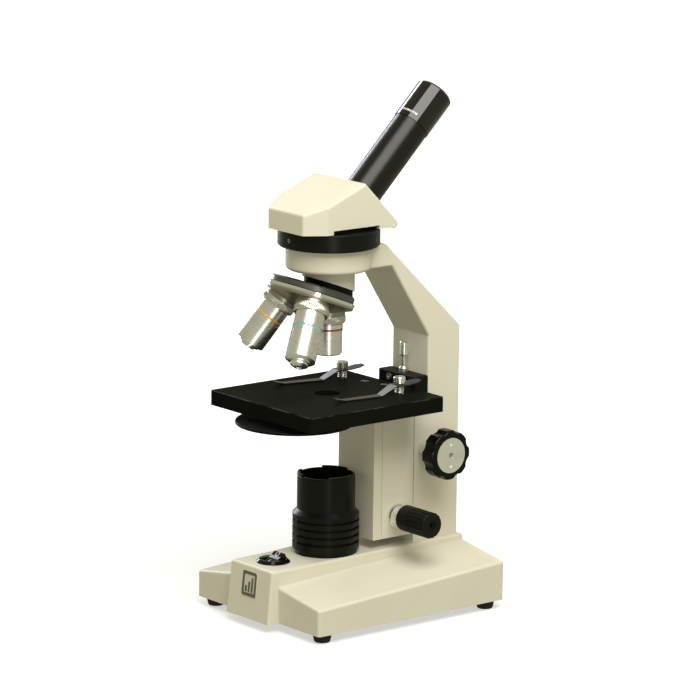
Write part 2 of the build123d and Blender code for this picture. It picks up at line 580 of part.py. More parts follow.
def fine_knobs():
    """The two slim black knobs, fluted over their outer part."""
    length = FINE_KNOB_OUT - FINE_KNOB_IN
    knob = Cylinder(FINE_KNOB_RADIUS, length, align=BOTTOM)
    knob = chamfer(knob.edges().filter_by(GeomType.CIRCLE), 0.7)
    for count in range(FINE_FLUTES):
        flute = Pos(FINE_KNOB_RADIUS + 0.35, 0, 10.5) * Cylinder(0.95, length, align=BOTTOM)
        knob -= Rot(0, 0, count * 360 / FINE_FLUTES) * flute
    knob -= rod(2.5 + SNUG, -1, length - 7.9) + rod(3.4, length - 3.0, length + 1) + rod(1.6, 5, length)
    knob = Pos(0, 0, FINE_KNOB_IN) * knob
    return [across(knob, FINE_Y, FINE_Z, side) for side in (-1, 1)]


def fine_knob_screws():
    """The hexagon-socket screw in each fine knob's end."""
    seat = FINE_KNOB_OUT - 2.97
    body = rod(3.2, seat, seat + 2.2) + rod(1.5, FINE_KNOB_OUT - 7.8, seat)
    body -= Pos(0, 0, seat + 0.8) * extrude(RegularPolygon(1.5, 6), 3)
    return [across(body, FINE_Y, FINE_Z, side) for side in (-1, 1)]


# ---------------------------------------------------------------- fine carriage
def fine_carriage():
    """The cream front plate, which slides on the block and carries the stage."""
    top = STAGE_TOP - STAGE_THICK - BRACKET_PLATE
    plate = box(-CARRIAGE_HALF - 0.1, CARRIAGE_HALF + 0.1, PLATE_FRONT, PLATE_BACK, CARRIAGE_Z, top)
    plate = fillet(plate.edges().filter_by(Axis.Z), 0.8)
    plate += dovetail(7.0, PLATE_BACK, SLIDE_DEPTH, 88, 136)
    for x in (-11, 11):
        plate -= rod(1.6 + SNUG, top - 12, top + 1, x, (PLATE_FRONT + PLATE_BACK) / 2)
    return plate


def cam_follower():
    """The steel arm on the plate's back that rests on the cam."""
    z = FINE_Z + CAM_RADIUS + 0.08
    arm_part = box(-3, 3, PLATE_BACK + SNUG, FINE_Y + 2.5, z + 2.0, z + 5.5)
    tip = side_cut(2.0, (FINE_Y - 0.5, z), (FINE_Y + 0.5, z), (FINE_Y + 1.6, z + 2.2),
                   (FINE_Y - 1.6, z + 2.2))
    return arm_part + tip


def stage_bracket():
    """The black bracket under the stage, with the upright that carries the stop screw."""
    top = STAGE_TOP - STAGE_THICK
    plate = box(-CARRIAGE_HALF, CARRIAGE_HALF, PLATE_FRONT, BRACKET_BACK, top - BRACKET_PLATE, top)
    upright = box(-CARRIAGE_HALF, CARRIAGE_HALF, BRACKET_FRONT, BRACKET_BACK, top - 0.1, BRACKET_TOP)
    upright = chamfer(upright.edges().group_by(Axis.Z)[-1], 0.6)
    body = plate + upright
    for x in (-11, 11):
        body -= rod(1.7, 120, top + 1, x, (PLATE_FRONT + PLATE_BACK) / 2)
        body -= rod(3.2, top - 1.9, top + 1, x, (PLATE_FRONT + PLATE_BACK) / 2)
    for x, y in stage_screw_places():
        body -= rod(1.5 + SNUG, 130, top + 1, x, y)
    body -= rod(1.4 + RUN, 130, 170, 0, STOP_Y)
    face_hole = Rot(-90, 0, 0) * Cylinder(1.5 + SNUG, 8, align=BOTTOM)
    return body - Pos(-8.0, BRACKET_FRONT - 1, BRACKET_TOP - 4.0) * face_hole


def stage_screw_places():
    """Where the three countersunk screws pass through the back of the stage."""
    return [(-16.7, 46.0), (0.0, 49.8), (16.7, 46.0)]


def stage():
    """The black square stage with its light hole."""
    top, under = STAGE_TOP, STAGE_TOP - STAGE_THICK
    plate = box(-STAGE_HALF, STAGE_HALF, STAGE_FRONT, STAGE_BACK, under, top)
    plate = fillet(plate.edges().filter_by(Axis.Z), 2.0)
    plate = fillet(plate.edges().group_by(Axis.Z)[-1], 0.6)
    plate -= rod(STAGE_HOLE, under - 1, top + 1)
    for x, y in stage_screw_places():
        plate -= rod(1.7, under - 1, top + 1, x, y)
        plate -= Pos(x, y, top - 1.9) * Cone(1.7, 3.7, 2.0, align=BOTTOM)
    for x in (-CLIP_X, CLIP_X):
        plate -= rod(2.0 + SNUG, under - 1, top + 1, x, CLIP_Y)
    plate -= rod(2.0 + SNUG, under - 1, under + 7, 0, DISC_Y)
    return plate


def stage_screws():
    """The stage's fasteners: three countersunk, two under the stage and one in the bracket's face."""
    head = STAGE_TOP - 0.5
    body = turned((0, head - 14.0), (1.5, head - 14.0), (1.5, head - 1.6), (3.0, head - 0.1), (3.0, head),
                  (0, head))
    body -= Pos(0, 0, head - 0.8) * Box(0.8, 8.0, 3.0, align=BOTTOM)
    screws = [Pos(x, y, 0) * body for x, y in stage_screw_places()]
    seat, y = STAGE_TOP - STAGE_THICK - 1.9, (PLATE_FRONT + PLATE_BACK) / 2
    screws += [Pos(x, y, seat) * Rot(180, 0, 0) * screw(3.0, 1.7, 1.6, 12.0, 1.5) for x in (-11, 11)]
    face_screw = screw(2.4, 1.4, 1.5, 6.5, 1.1)
    return screws + [Pos(-8.0, BRACKET_FRONT, BRACKET_TOP - 4.0) * Rot(-90, 0, 0) * face_screw]


def stop_screw():
    """The knurled safety stop screw that meets the arm before a slide is broken."""
    neck_z = BRACKET_TOP + 4.0
    body = turned((0, BRACKET_TOP - 15.0), (1.4, BRACKET_TOP - 15.0), (1.4, neck_z + 6.6),
                  (2.85, neck_z + 8.0), (2.85, neck_z + 16.6), (2.3, neck_z + 17.2), (0, neck_z + 17.2))
    for count in range(14):
        groove = Pos(2.95, 0, neck_z + 8.5) * Box(0.4, 0.5, 8.0, align=BOTTOM)
        body -= Rot(0, 0, count * 360 / 14) * groove
    return Pos(0, STOP_Y, 0) * body


def stop_nut():
    """The round lock nut at the foot of the stop screw."""
    z = BRACKET_TOP
    nut = turned((1.4 + RUN, z), (3.25, z), (3.25, z + 2.4), (2.3, z + 4.0), (1.4 + RUN, z + 4.0))
    return Pos(0, STOP_Y, 0) * nut


def clip_posts():
    """The two posts that the stage clips turn on, each with a knurled top."""
    z = STAGE_TOP
    post = rod(2.0, z - 8.0, z + CLIP_HEIGHT + 1.2)
    top = chamfer(rod(4.05, z + CLIP_HEIGHT + 1.2, z + 12.0).edges(), 0.5)
    for count in range(16):
        groove = Pos(4.2, 0, z + CLIP_HEIGHT + 2.0) * Box(0.5, 0.7, 3.2, align=BOTTOM)
        top -= Rot(0, 0, count * 360 / 16) * groove
    return [Pos(x, CLIP_Y, 0) * (post + top) for x in (-CLIP_X, CLIP_X)]


def clip_springs():
    """The coil spring under each clip, drawn as a stack of plain rings on a thin sleeve."""
    z = STAGE_TOP + SNUG
    body = pipe(2.6, 2.1, z, z + CLIP_HEIGHT - 0.4)
    for count in range(4):
        low = z + 0.1 + count * 1.5
        body += pipe(3.3, 2.4, low, low + 0.9)
    return [Pos(x, CLIP_Y, 0) * body for x in (-CLIP_X, CLIP_X)]


def clip_blade():
    """One spring-steel clip, drawn along -Y about its post: a raised tab, a step down and a flat end."""
    low, high = STAGE_TOP + 0.35, STAGE_TOP + CLIP_HEIGHT
    line = [(CLIP_TAB, high + 1.8), (5.0, high), (-5.0, high), (-16.0, low), (-CLIP_REACH + 7.0, low),
            (-CLIP_REACH, low + 1.6)]
    strip = [(y, z) for y, z in line] + [(y, z + 0.6) for y, z in reversed(line)]
    blank = side_cut(5.0, *strip)
    plan = [(-2.6, -CLIP_REACH), (2.6, -CLIP_REACH), (3.4, -16), (4.6, -4), (4.6, CLIP_TAB - 4),
            (2.4, CLIP_TAB), (-2.4, CLIP_TAB), (-4.6, CLIP_TAB - 4), (-4.6, -4), (-3.4, -16)]
    return (blank & plan_cut(STAGE_TOP, STAGE_TOP + 12, *plan)) - rod(2.0 + RUN, STAGE_TOP, STAGE_TOP + 20)


def left_clip():
    """The left clip, turned a little outwards."""
    return Pos(-CLIP_X, CLIP_Y, 0) * Rot(0, 0, LEFT_CLIP_TURN) * clip_blade()


def right_clip():
    """The right clip, turned a little inwards."""
    return Pos(CLIP_X, CLIP_Y, 0) * Rot(0, 0, RIGHT_CLIP_TURN) * clip_blade()


def disc_pivot():
    """The shouldered screw below the stage that the aperture disc turns on."""
    under = STAGE_TOP - STAGE_THICK
    body = turned((0, DISC_Z - 2.2), (5.0, DISC_Z - 2.2), (5.0, DISC_Z - CLEAR), (3.0, DISC_Z - CLEAR),
                  (3.0, DISC_Z + DISC_THICK + 0.2), (6.0, DISC_Z + DISC_THICK + 0.2), (6.0, under - SNUG),
                  (2.0, under - SNUG), (2.0, under + 6.5), (0, under + 6.5))
    return Pos(0, DISC_Y, 0) * body


def aperture_disc():
    """The black disc below the stage, with five light holes of different sizes."""
    disc = rod(DISC_RADIUS, DISC_Z, DISC_Z + DISC_THICK, 0, DISC_Y)
    disc = chamfer(disc.edges(), 0.4)
    disc -= rod(3.0 + RUN, DISC_Z - 1, DISC_Z + 5, 0, DISC_Y)
    for count, radius in enumerate((6.5, 5.0, 3.5, 2.2, 1.2)):
        hole = rod(radius, DISC_Z - 1, DISC_Z + 5, 0, -DISC_Y)
        disc -= Pos(0, DISC_Y, 0) * Rot(0, 0, 72 * count) * hole
    return disc


# ---------------------------------------------------------------- turret and objectives
def turret_plate():
    """The chromed turret: a dished plate with three threaded seats on its cone."""
    hub = 53.2
    cone_rise = (hub - RIM_UNDER) / (TURRET_RADIUS - 8.0)
    low_rim = TURRET_RADIUS - RIM_TAPER
    plate = turned((4.0 + RUN, RIM_TOP), (TURRET_RADIUS, RIM_TOP), (low_rim, RIM_UNDER - 0.4),
                   (low_rim - 0.4, RIM_UNDER), (8.0, hub), (4.0 + RUN, hub))
    under = turned((9.0, RIM_TOP - 1), (27.0, RIM_TOP - 1), (27.0, RIM_TOP + 2.0),
                   (9.0, RIM_TOP + 2.0 + 18 * cone_rise))
    plate = on_turret(plate - under)
    trim = on_turret(rod(60, 0, RIM_TOP))
    for seat in range(3):
        plate += on_seat(rod(11.6, RIM_TOP + 4.0, SHOULDER), seat)
        trim += on_seat(rod(THREAD_RADIUS + SNUG, SHOULDER - THREAD_LENGTH - 0.5, SHOULDER + 1), seat)
        trim += on_seat(rod(8.6, 30, SHOULDER), seat)
    return plate - trim - on_turret(rod(6.6, hub - 1.2, 60) + rod(4.0 + RUN, 30, 60))


def turret_ring():
    """The black grip ring on top of the turret, with three click notches."""
    low, high = TURRET_TOP, RIM_TOP - SNUG
    ring = turned((16.0, low + 1.2), (GRIP_RADIUS - 1.0, low), (GRIP_RADIUS, low + 1.0),
                  (GRIP_RADIUS, high - 0.6), (GRIP_RADIUS - 0.6, high), (16.0, high))
    for count in range(3):
        notch = Pos(0, -27.0, low - 1) * Cylinder(1.6, 2.4, align=BOTTOM)
        ring -= Rot(0, 0, 120 * count) * notch
    for seat in range(3):
        ring -= in_turret(rod(8.6, 20, SHOULDER), seat)
    return on_turret(ring)


def objective_shape(length, band, sleeve, tip, bore):
    """An objective from thread to tip, with its bore. Below the band it has the sleeve's radius.

    The tip lists (radius, rise) points up from the end."""
    start, top, end = SHOULDER - THREAD_LENGTH, SHOULDER + SNUG, SHOULDER + length
    groove, step = SHOULDER + band, SHOULDER + 1.2 * band
    outline = [(8.2, start), (THREAD_RADIUS, start), (THREAD_RADIUS, top), (KNURL_RADIUS - 0.4, top),
               (KNURL_RADIUS, top + 0.5), (KNURL_RADIUS, top + 5.4), (KNURL_RADIUS - 0.4, top + 5.9),
               (OBJECTIVE_RADIUS - 0.5, top + 5.9), (OBJECTIVE_RADIUS - 0.5, top + 6.5),
               (OBJECTIVE_RADIUS, top + 6.5), (OBJECTIVE_RADIUS, groove - 0.7),
               (OBJECTIVE_RADIUS - 0.25, groove - 0.7), (OBJECTIVE_RADIUS - 0.25, groove + 0.7),
               (OBJECTIVE_RADIUS, groove + 0.7), (OBJECTIVE_RADIUS, step - 0.5), (sleeve - 0.5, step - 0.5),
               (sleeve - 0.5, step), (sleeve, step)]
    outline += [(radius, end - rise) for radius, rise in tip]
    return turned(*outline, (bore, start + 10), (8.2, start + 10))


def low_objective():
    """The lowest power, red band, in use on the optical axis."""
    tip = [(LOW_SLEEVE, 0.8), (LOW_SLEEVE - 0.8, 0), (7.4, 0), (6.2, 2.0), (6.2, 3.5)]
    return on_seat(objective_shape(LOW_LENGTH, LOW_BAND, LOW_SLEEVE, tip, 6.2), 0)


def high_objective():
    """The highest power, blue band. Its end is open for the sprung nose."""
    tip = [(SLEEVE_RADIUS, 5.4), (NOSE_RADIUS + 0.7, 3.8), (NOSE_RADIUS + RUN, 3.8)]
    return on_seat(objective_shape(HIGH_LENGTH, HIGH_BAND, SLEEVE_RADIUS, tip, NOSE_RADIUS + RUN), 1)


def middle_objective():
    """The middle power, yellow band."""
    tip = [(SLEEVE_RADIUS, 3.6), (SLEEVE_RADIUS - 0.7, 3.0), (7.4, 3.0), (7.4, 1.8), (5.4, 1.2), (5.4, 0.4),
           (4.4, 0), (3.4, 0), (2.7, 1.4), (2.7, 3.0)]
    return on_seat(objective_shape(MIDDLE_LENGTH, MIDDLE_BAND, SLEEVE_RADIUS, tip, 2.7), 2)


def high_nose():
    """The sprung nose of the highest power: a narrow stepped cone with its front lens held in it."""
    tip = SHOULDER + HIGH_LENGTH
    nose = turned((2.2, tip - 16.0), (NOSE_RADIUS, tip - 16.0), (NOSE_RADIUS, tip - 3.2),
                  (NOSE_RADIUS - 1.2, tip - 2.8), (NOSE_RADIUS - 1.2, tip - 1.6), (3.4, tip), (2.2, tip),
                  (1.7, tip - 0.8), (1.7, tip - 3.0), (2.2, tip - 3.0))
    return on_seat(nose, 1)


def objective_lenses():
    """The front lenses of the low and middle powers."""
    return [on_seat(rod(6.2 - SNUG, SHOULDER + LOW_LENGTH - 3.4, SHOULDER + LOW_LENGTH - 2.0), 0),
            on_seat(rod(2.7 - SNUG, SHOULDER + MIDDLE_LENGTH - 2.9, SHOULDER + MIDDLE_LENGTH - 1.5), 2)]


# ---------------------------------------------------------------- head and eyepiece
def head_solid(inset):
    """The faceted head: roof sloping to the front, rear face square to the tube."""
    drop = inset * 1.1
    side = side_cut(HEAD_HALF - inset, (HEAD_FRONT + inset, HEAD_Z), (HEAD_BACK - inset, HEAD_Z),
                    (HEAD_BACK - inset, HEAD_BACK_TOP - inset * 0.45),
                    (RIDGE_Y - inset * 0.25, RIDGE_Z - drop * 1.1),
                    (HEAD_FRONT + inset, HEAD_FRONT_TOP - inset * 0.7))
    half, nose = HEAD_HALF - inset, NOSE_HALF - inset * 0.55
    plan = plan_cut(HEAD_Z - 1, RIDGE_Z + 1, (-nose, HEAD_FRONT + inset), (nose, HEAD_FRONT + inset),
                    (half, HEAD_SHOULDER + inset * 0.55), (half, HEAD_BACK - inset),
                    (-half, HEAD_BACK - inset), (-half, HEAD_SHOULDER + inset * 0.55))
    return side & plan


def head_shell():
    """The cream head casting, open below."""
    outer = head_solid(0)
    outer = fillet(outer.edges().filter_by(lambda e: e.center().Z > HEAD_Z + 1), 2.2)
    lip = box(-HEAD_HALF + 3, HEAD_HALF - 3, RING_RADIUS + 0.5, HEAD_BACK, HEAD_Z - 1.2, HEAD_Z + 1)
    shell = outer + lip - head_solid(HEAD_WALL)
    notch = box(-4.5, 4.5, NOTCH_FRONT, NOTCH_BACK, HEAD_Z - 1, HEAD_Z + NOTCH_HEIGHT)
    for side in (-1, 1):
        shell -= Pos(side * HEAD_HALF, 0, 0) * notch
    return shell - on_tube(rod(12.0 + SNUG, 15, 60))


def head_mount():
    """The black flange inside the head, whose spigot turns in the ring."""
    outline = [(-17.0, HEAD_FRONT + 6.0), (17.0, HEAD_FRONT + 6.0), (22.0, HEAD_SHOULDER), (22.0, 33.0),
               (-22.0, 33.0), (-22.0, HEAD_SHOULDER)]
    flange = plan_cut(HEAD_Z + 0.1, HEAD_Z + 2.5, *outline)
    mount = flange + rod(SPIGOT_RADIUS, RING_Z + 3.0, HEAD_Z + 1.0)
    mount -= pipe(SPIGOT_RADIUS + 2, SPIGOT_RADIUS - 1.2, RING_Z + 4.3, RING_Z + 7.7)
    return mount - rod(13.0, 240, 290)


def prism():
    """The glass prism that turns the light into the slanted tube."""
    return side_cut(10.0, (-11.5, HEAD_Z + 3.0), (11.5, HEAD_Z + 3.0), (25.8, HEAD_Z + 7.6),
                    (15.2, HEAD_Z + 18.2), (-11.5, HEAD_Z + 11.5))


def draw_tube():
    """The slanted black tube."""
    tube = turned((10.4, TUBE_START), (12.0, TUBE_START), (12.0, TUBE_FACE), (TUBE_RADIUS, TUBE_FACE),
                  (TUBE_RADIUS, TUBE_END), (TUBE_BORE, TUBE_END), (TUBE_BORE, TUBE_END - 30),
                  (10.4, TUBE_END - 32))
    return on_tube(tube)


def eyepiece_cap():
    """The glossy black eye cap."""
    low, high = TUBE_END + 0.05, TUBE_END + EYEPIECE_LENGTH
    cap = turned((BARREL_RADIUS + SNUG, low), (EYEPIECE_RADIUS, low), (EYEPIECE_RADIUS, high - 1.6),
                 (EYEPIECE_RADIUS - 1.6, high), (9.5, high), (6.5, high - 2.6), (6.5, high - 6.0),
                 (BARREL_RADIUS + SNUG, high - 6.0))
    return on_tube(cap)


def eyepiece_barrel():
    """The eyepiece's sleeve, which stands in the tube, with its field stop."""
    low, high = TUBE_END - BARREL_LENGTH, TUBE_END + EYEPIECE_LENGTH - 6.05
    return on_tube(pipe(BARREL_RADIUS, 10.3, low, high) + pipe(10.5, 7.5, TUBE_END + 4.0, TUBE_END + 5.2))


def eyepiece_lenses():
    """The eye lens above and the field lens below."""
    high, low = TUBE_END + EYEPIECE_LENGTH - 6.4, TUBE_END - BARREL_LENGTH + 2.0
    eye = rod(10.25, high - 4.0, high) & (Pos(0, 0, high - 22.0) * Sphere(22.0))
    field = rod(10.25, low, low + 4.0) & (Pos(0, 0, low + 4.0 - 24.0) * Sphere(24.0))
    return [on_tube(eye), on_tube(field)]


# ---------------------------------------------------------------- writing the pieces
STAND = (base_shell, base_plate, rubber_feet, base_screws, arm_bolts, badge, power_inlet, base_wiring,
         lamp_housing, lamp_socket, lamp_bulb, switch_bezel, arm, head_ring, head_ring_screws,
         turret_base, turret_pivot, coarse_bushes)
LAMP_CAP = (lamp_tube, lamp_lens)
SWITCH = (switch_rocker,)
COARSE_DRIVE = (coarse_shaft, coarse_knobs, coarse_knob_discs, coarse_knob_screws)
COARSE_CARRIAGE = (coarse_carriage, coarse_slide, rack, fine_collars)
FINE_DRIVE = (fine_shaft, fine_cam, fine_knobs, fine_knob_screws)
FINE_CARRIAGE = (fine_carriage, cam_follower, stage_bracket, stage, stage_screws, stop_nut, stop_screw,
                 clip_posts, clip_springs, left_clip, right_clip, disc_pivot, aperture_disc)
TURRET = (turret_plate, turret_ring, low_objective, middle_objective, high_objective, high_nose,
          objective_lenses)
HEAD = (head_shell, head_mount, prism, draw_tube, eyepiece_cap, eyepiece_barrel, eyepiece_lenses)


def write(maker):
    """Move a piece into the part's frame and write its STEP file under the piece's name."""
    shape = maker()
    solids = shape if isinstance(shape, list) else [shape]
    centre = (BASE_BACK + NOSE_FOOT) / 2
    placed = [Pos(0, -centre, -TABLE) * each for each in solids]
    whole = placed[0] if len(placed) == 1 else Compound(children=placed)
    export_step(whole, os.path.join("parts", maker.__name__ + ".step"))


os.makedirs("parts", exist_ok=True)
GROUPS = (STAND, LAMP_CAP, SWITCH, COARSE_DRIVE, COARSE_CARRIAGE, FINE_DRIVE, FINE_CARRIAGE, TURRET, HEAD)
for piece in sum(GROUPS, ()):
    write(piece)
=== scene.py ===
# %% [markdown]
# # A student microscope, finished piece by piece
# The cast parts, tubes and knobs arrive as plain meshes. What is left to do is what a paint shop, a
# plating bath and an assembler do: enamel, plate, knurl, wind the small springs and print the marks.

import json
import math

import bmesh
import bpy
import numpy as np
from mathutils import Matrix, Vector


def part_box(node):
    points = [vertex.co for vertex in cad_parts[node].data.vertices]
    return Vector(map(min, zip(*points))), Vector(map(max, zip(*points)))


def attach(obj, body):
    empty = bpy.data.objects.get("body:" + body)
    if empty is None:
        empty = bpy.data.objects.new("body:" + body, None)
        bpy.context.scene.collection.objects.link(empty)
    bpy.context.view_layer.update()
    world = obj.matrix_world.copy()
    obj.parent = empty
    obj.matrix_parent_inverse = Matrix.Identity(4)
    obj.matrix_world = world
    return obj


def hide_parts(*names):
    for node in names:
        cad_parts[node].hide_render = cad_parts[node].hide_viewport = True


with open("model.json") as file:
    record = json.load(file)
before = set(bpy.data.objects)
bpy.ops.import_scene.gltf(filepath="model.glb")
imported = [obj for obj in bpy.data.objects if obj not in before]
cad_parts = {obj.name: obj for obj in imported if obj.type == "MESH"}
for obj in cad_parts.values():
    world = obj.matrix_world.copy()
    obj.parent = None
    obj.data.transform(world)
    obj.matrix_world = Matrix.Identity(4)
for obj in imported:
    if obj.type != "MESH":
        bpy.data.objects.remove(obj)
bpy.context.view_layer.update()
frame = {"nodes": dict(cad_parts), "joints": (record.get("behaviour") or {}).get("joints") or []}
nodes = frame["nodes"]
joints = {joint["name"]: joint for joint in frame["joints"]}
MM = 0.001

# %% [markdown]
# ## The camera
# A long lens from far away keeps the verticals almost parallel, as product pictures of instruments do.
# The camera is described by where it aims and by how it is turned, so each number means something: the
# turn round the object, the height angle above the table, a small roll, and the distance.

# %% Place the camera
AIM = Vector((0.0090, -0.0061, 0.1822))
DISTANCE = 2.931
TURN, HEIGHT, ROLL = (math.radians(angle) for angle in (50.80, 11.98, 0.69))
LENS, SENSOR = 223.55, 36.0  # millimetres, as camera makers give them


def camera_axes(turn, height, roll):
    """Right, up and back of a camera turned round Z, raised above the table and rolled about its view."""
    back = Vector((math.sin(turn) * math.cos(height), -math.cos(turn) * math.cos(height),
                   math.sin(height)))
    level = Vector((math.cos(turn), math.sin(turn), 0))
    upright = back.cross(level)
    right = level * math.cos(roll) + upright * math.sin(roll)
    up = upright * math.cos(roll) - level * math.sin(roll)
    return right, up, back


right, up, back = camera_axes(TURN, HEIGHT, ROLL)
camera = bpy.data.objects.new("camera", bpy.data.cameras.new("camera"))
camera.data.lens, camera.data.sensor_width = LENS, SENSOR
camera.data.clip_end = 50.0
turned = Matrix((right, up, back)).transposed().to_4x4()
camera.matrix_world = Matrix.Translation(AIM + back * DISTANCE) @ turned
bpy.context.scene.collection.objects.link(camera)
bpy.context.scene.camera = camera
bpy.context.scene.view_settings.view_transform = "Standard"
print("camera at", [round(value, 3) for value in camera.location])

# %% [markdown]
# ## Numbers on a surface
# A finish needs sums such as "roughness is 0.3 plus a little noise". Written as nodes they are hard to
# read, so one small class wraps a socket and lets Python's own signs add the Math nodes. A second class
# holds one material and has a single method for every other kind of node.

# %% A socket with arithmetic
class Field:
    """A number or vector that varies over the surface. Its arithmetic adds Math nodes."""

    def __init__(self, finish, socket):
        self.finish, self.socket = finish, socket

    def maths(self, operation, *values):
        return self.finish.node("ShaderNodeMath", {"operation": operation}, dict(enumerate(values)))

    def __add__(self, other):
        return self.maths("ADD", self, other)

    def __sub__(self, other):
        return self.maths("SUBTRACT", self, other)

    def __rsub__(self, other):
        return self.maths("SUBTRACT", other, self)

    def __mul__(self, other):
        return self.maths("MULTIPLY", self, other)

    def below(self, limit):
        """1 where the value is under the limit, and 0 elsewhere."""
        return self.maths("LESS_THAN", self, limit)

    def above(self, limit):
        return self.maths("GREATER_THAN", self, limit)

    def size(self):
        return self.maths("ABSOLUTE", self)

    def fade(self, low, high):
        """0 below low, 1 above high, and a smooth step between."""
        settings = {"interpolation_type": "SMOOTHSTEP"}
        limits = {"Value": self, "From Min": low, "From Max": high}
        return self.finish.node("ShaderNodeMapRange", settings, limits)

    def vector_maths(self, operation, inputs, output=0):
        return self.finish.node("ShaderNodeVectorMath", {"operation": operation}, inputs, output)

    def along(self, direction, origin=(0, 0, 0)):
        """Distance of the surface point from origin, measured along a direction."""
        offset = sum(a * b for a, b in zip(direction, origin))
        return self.vector_maths("DOT_PRODUCT", {0: self, 1: tuple(direction)}, "Value") - offset

    def from_axis(self, origin, direction):
        """Distance of the surface point from a straight axis: the length of the cross product."""
        shifted = self.vector_maths("SUBTRACT", {0: self, 1: tuple(origin)})
        crossed = self.vector_maths("CROSS_PRODUCT", {0: shifted, 1: tuple(direction)})
        return self.vector_maths("LENGTH", {0: crossed}, "Value")

    __radd__, __rmul__ = __add__, __mul__


# %% A material with one way to add nodes
class Finish:
    """One material round a Principled shader. Values that are the same all over go in by name."""

    def __init__(self, name, colour, **sockets):
        self.material = bpy.data.materials.new(name)
        self.material.use_nodes = True
        self.tree = self.material.node_tree
        self.shader = self.tree.nodes["Principled BSDF"]
        self.shader.inputs["Base Color"].default_value = (*colour, 1)
        for socket, value in sockets.items():
            self.shader.inputs[socket.replace("_", " ")].default_value = value
        self.place = self.node("ShaderNodeTexCoord", output="Object")

    def node(self, kind, settings={}, inputs={}, output=0):
        """Adds a node, sets its settings and then its sockets, and returns one of its outputs."""
        new = self.tree.nodes.new(kind)
        for setting, value in settings.items():
            setattr(new, setting, value)
        for socket, value in inputs.items():
            self.feed(new.inputs[socket], value)
        return Field(self, new.outputs[output])

    def feed(self, socket, value):
        if isinstance(value, Field):
            self.tree.links.new(value.socket, socket)
        else:
            socket.default_value = value

    def vary(self, socket, value):
        self.feed(self.shader.inputs[socket], value)
        return self

    def noise(self, scale, detail=2.0, stretch=(1, 1, 1)):
        """Cloudy noise from 0 to 1 with about scale features in a metre, stretched along the axes."""
        place = self.place.vector_maths("MULTIPLY", {0: self.place, 1: stretch})
        return self.node("ShaderNodeTexNoise", {}, {"Vector": place, "Scale": scale, "Detail": detail})

    def lines(self, distance, per_metre, detail=3.0):
        """Noise that changes only with a distance: fine lines, as a turning tool leaves."""
        return self.node("ShaderNodeTexNoise", {"noise_dimensions": "1D"},
                         {"W": distance, "Scale": per_metre, "Detail": detail})

    def mix(self, share, first, second):
        """Goes from the first colour to the second as share goes from 0 to 1."""
        colours = {0: share, 6: (*first, 1) if isinstance(first, tuple) else first,
                   7: (*second, 1) if isinstance(second, tuple) else second}
        return self.node("ShaderNodeMix", {"data_type": "RGBA"}, colours, 2)

    def relief(self, height, depth, strength=1.0):
        """Bumps of a height field from 0 to 1, depth metres deep."""
        inputs = {"Strength": strength, "Distance": depth, "Height": height}
        return self.vary("Normal", self.node("ShaderNodeBump", {}, inputs))


print("shader helpers ready")

# %% [markdown]
# ## Cream enamel
# The castings are aluminium, filled, sanded and stoved with a cream enamel. It's never quite flat: the
# spray leaves a fine orange peel, and the colour drifts a little over a hand's width. So one fine noise
# makes the relief, and one broad noise moves the colour and the gloss.

# %% Cream enamel
def cream_enamel():
    finish = Finish("cream enamel", (0.69, 0.66, 0.55), Specular_IOR_Level=0.3, Coat_Weight=0.1,
                    Coat_Roughness=0.3)
    drift, peel = finish.noise(14, 3), finish.noise(900, 2)
    pale, deep = (0.705, 0.675, 0.565), (0.68, 0.65, 0.535)
    finish.vary("Base Color", finish.mix(drift.fade(0.35, 0.7), pale, deep))
    finish.vary("Roughness", 0.34 + finish.noise(60, 4) * 0.14)
    return finish.relief(peel, 0.06 * MM, 0.35)


# %% [markdown]
# ## Black finishes
# Several blacks sit side by side and have to read apart. The lamp and the rings are satin lacquer over
# turned metal, so their fine lines run round the part. Milled parts have the same lacquer with an even
# grain. The stage is anodised, dull, and worn bare along its top edges. Knobs and eye cap are moulded,
# with a wet gloss. The feet are rubber.

# %% Satin black lacquer on turned metal
def satin_black(name, origin, direction, colour=0.005, roughness=0.3, shine=0.16):
    """Lacquer over a turned part: faint lines at right angles to the part's axis."""
    finish = Finish(name, (colour, colour, colour * 0.85), Specular_IOR_Level=shine)
    rings = finish.lines(finish.place.along(direction, origin), 2600)
    dust = finish.noise(450, 3)
    finish.vary("Roughness", roughness + rings * 0.06 + dust.fade(0.5, 0.8) * 0.05)
    return finish.relief(rings, 0.012 * MM, 0.4)


def grained_black(name, colour=0.006, roughness=0.42):
    """Satin lacquer over a milled part, with an even fine grain."""
    finish = Finish(name, (colour, colour, colour * 0.85), Specular_IOR_Level=0.08)
    finish.vary("Roughness", roughness + finish.noise(70, 3) * 0.1)
    return finish.relief(finish.noise(1800, 2), 0.02 * MM, 0.4)


